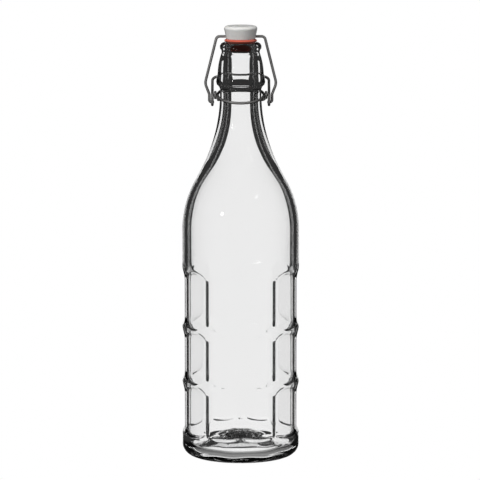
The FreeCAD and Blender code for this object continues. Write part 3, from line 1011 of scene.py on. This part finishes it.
def bent_wire(name, corners, gauge=2 * WIRE_RADIUS, shut=False):
    """A wire through corners given as (x, y, z, bend), all in millimetres."""
    mesh = bpy.data.meshes.new(name)
    points = [Vector(corner[:3]) * MM for corner in corners]
    edges = [(i, i + 1) for i in range(len(points) - 1)]
    if shut:
        edges.append((len(points) - 1, 0))
    mesh.from_pydata(points, edges, [])
    bends = mesh.attributes.new("bend", "FLOAT", "POINT")
    bends.data.foreach_set("value", [corner[3] * MM for corner in corners])
    values = {"Gauge": gauge * MM, "Round Steps": 20, "Bend Steps": 10, "Material": steel_wire}
    return shaped(name, mesh, wire_tree, values)


def mirrored(right):
    """The left side's corners are the right side's, mirrored and in the other order."""
    return [(-x, y, z, bend) for x, y, z, bend in reversed(right)] + right


def one_piece(name, parts):
    """Joins finished wires into one object."""
    with bpy.context.temp_override(active_object=parts[0], selected_editable_objects=parts):
        bpy.ops.object.join()
    parts[0].name = name
    parts[0].data.name = name
    return parts[0]


# %% Closure sizes
COLLAR_BASE = 272.3
COLLAR_RADIUS = 18.0
SIDE_GAP = 0.147
RING_CLEARANCE = 0.16
RING_GAP = 0.35
LEVER_CLEARANCE = 0.28
HOOK_GAP = 0.2
HOOK_OVERLAP = 0.3
RING_LEAN = math.radians(13.9)
RING_RADIUS = (NECK_RADIUS + WIRE_RADIUS + RING_CLEARANCE) / math.cos(RING_LEAN)
RING_HEIGHT = COLLAR_BASE - RING_RADIUS * math.sin(RING_LEAN) - WIRE_RADIUS - RING_GAP
EAR_REACH = RING_RADIUS + 1.7 * WIRE_RADIUS
EYE_RADIUS = 2 * WIRE_RADIUS + 0.08
PIN_END = RING_RADIUS + WIRE_RADIUS + SIDE_GAP
LEVER_REACH = EAR_REACH + 2 * WIRE_RADIUS + SIDE_GAP
LEVER_RISE = math.radians(30.6)
LEVER_LENGTH = (COLLAR_RADIUS + WIRE_RADIUS + LEVER_CLEARANCE) / math.cos(LEVER_RISE)
SMALL_BEND = 1.6
HOOK_REACH = LEVER_REACH + 2 * WIRE_RADIUS + HOOK_GAP
HOOK_END = LEVER_REACH - WIRE_RADIUS - HOOK_OVERLAP
KNEE_REACH = COLLAR_RADIUS + 8
KNEE_RISE = 8.6
ANKLE_RISE = 0.6
CRANK = 5.2
CRANK_LEAN = math.radians(2)
eye_y = CRANK * math.sin(CRANK_LEAN)
eye_z = RING_HEIGHT - CRANK * math.cos(CRANK_LEAN)


def turns(x_from, x_to, y, z, radius, start, count, steps=28):
    """Corners of a coil about a line along X, with no bend of their own."""
    corners = []
    total = max(2, round(steps * abs(count)))
    for i in range(total + 1):
        share = i / total
        angle = start + math.tau * count * share
        corners.append(
            (
                x_from + (x_to - x_from) * share,
                y + radius * math.cos(angle),
                z + radius * math.sin(angle),
                0,
            )
        )
    return corners


# %% [markdown]
# The bail
#
# The bail is one wire: a bar through the stopper, two legs that spread to clear the neck, and two short
# hooks turned in at the bottom, which hang in the lever's eyes.

# %% Bail
lean = (0 - eye_y) / (BAR_HEIGHT - eye_z)


def on_bail(x, z, bend):
    return (x, eye_y + (z - eye_z) * lean, z, bend)


bail = bent_wire(
    "bail_wire",
    mirrored(
        [
            on_bail(17.4, BAR_HEIGHT, 2.8),
            on_bail(KNEE_REACH, RING_HEIGHT + KNEE_RISE, 8.0),
            on_bail(HOOK_REACH, RING_HEIGHT + ANKLE_RISE, 3.0),
            on_bail(HOOK_REACH, eye_z, SMALL_BEND),
            on_bail(HOOK_END, eye_z, 0),
        ]
    ),
)
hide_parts("bail")
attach(bail, "bail")

# %% [markdown]
# The lever
#
# The lever is a loop that passes behind the neck. Each end turns inwards through the neck wire's eye,
# which is its pivot, and carries a long loop that holds the bail's hook a few millimetres off the pivot.
# That small offset is the whole trick of the closure: as the loop swings down it carries the hooks past
# the pivots and pulls the stopper tight.

# %% Lever
arm_y = LEVER_LENGTH * math.cos(LEVER_RISE)
arm_z = RING_HEIGHT + LEVER_LENGTH * math.sin(LEVER_RISE)
loop = bent_wire(
    "lever_handle",
    mirrored(
        [
            (LEVER_REACH, arm_y, arm_z, 5.0),
            (LEVER_REACH, 0, RING_HEIGHT, SMALL_BEND),
            (PIN_END, 0, RING_HEIGHT, 0),
        ]
    ),
)
parts = [loop]
for side in (-1, 1):
    below = turns(side * LEVER_REACH, side * LEVER_REACH, eye_y, eye_z, EYE_RADIUS, math.pi, 0.5)
    above = turns(side * LEVER_REACH, side * LEVER_REACH, 0, RING_HEIGHT - 1.1, EYE_RADIUS, 0, 0.5)
    parts.append(bent_wire("lever_eye", below + above, 2 * WIRE_RADIUS, shut=True))
lever = one_piece("lever_wire", parts)
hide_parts("lever")
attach(lever, "lever")

# %% [markdown]
# The neck wire
#
# A ring lies under the glass collar. At each side its two ends are twisted together into an ear, and
# the ear ends in an eye for the lever's pivot. The ring leans: the pull of the stopper lifts its rear
# against the collar. The twist is a rule, two wires half a turn apart round one line, so it is sums.

# %% Neck wire
TWIST_STEPS = 24
EAR_ARRIVES = math.radians(40)


def ring_point(angle, radius=RING_RADIUS):
    """A point on the leaning ring. Angle 0 is the right side and a quarter turn is the rear."""
    return Vector(
        (
            radius * math.cos(angle),
            radius * math.sin(angle) * math.cos(RING_LEAN),
            RING_HEIGHT + radius * math.sin(angle) * math.sin(RING_LEAN),
        )
    )


def twisted(start, end, lay, count, phase):
    """One strand wound round the line from start to end. The twist closes towards the end."""
    line = (end - start).normalized()
    across = line.cross(Vector((0, 0, 1))).normalized()
    up = across.cross(line)
    corners = []
    for i in range(TWIST_STEPS + 1):
        share = i / TWIST_STEPS
        angle = phase + math.tau * count * share
        apart = lay * math.sin(math.pi * (0.15 + 0.85 * share))
        place = start.lerp(end, share) + (across * math.cos(angle) + up * math.sin(angle)) * apart
        corners.append((*place, 0))
    return corners


ring = [(*ring_point(math.tau * i / 96), 0) for i in range(96)]
parts = [bent_wire("neck_ring", ring, shut=True)]
for side in (-1, 1):
    eye = turns(side * EAR_REACH, side * EAR_REACH, 0, RING_HEIGHT, EYE_RADIUS, 0, 1)[:-1]
    parts.append(bent_wire("ear_eye", eye, shut=True))
    foot_of_ear = Vector((side * 15.6, -6.9, 263.9))
    top_of_ear = Vector(
        (
            side * (EAR_REACH - 0.1),
            -EYE_RADIUS * math.cos(EAR_ARRIVES),
            RING_HEIGHT - EYE_RADIUS * math.sin(EAR_ARRIVES),
        )
    )
    for phase in (0, math.pi):
        strand = twisted(foot_of_ear, top_of_ear, 0.62, 0.75, phase)
        parts.append(bent_wire("ear_strand", strand, 1.4))
neck_wire = one_piece("neck_wire_twisted", parts)
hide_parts("neck_wire")
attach(neck_wire, "neck_wire")
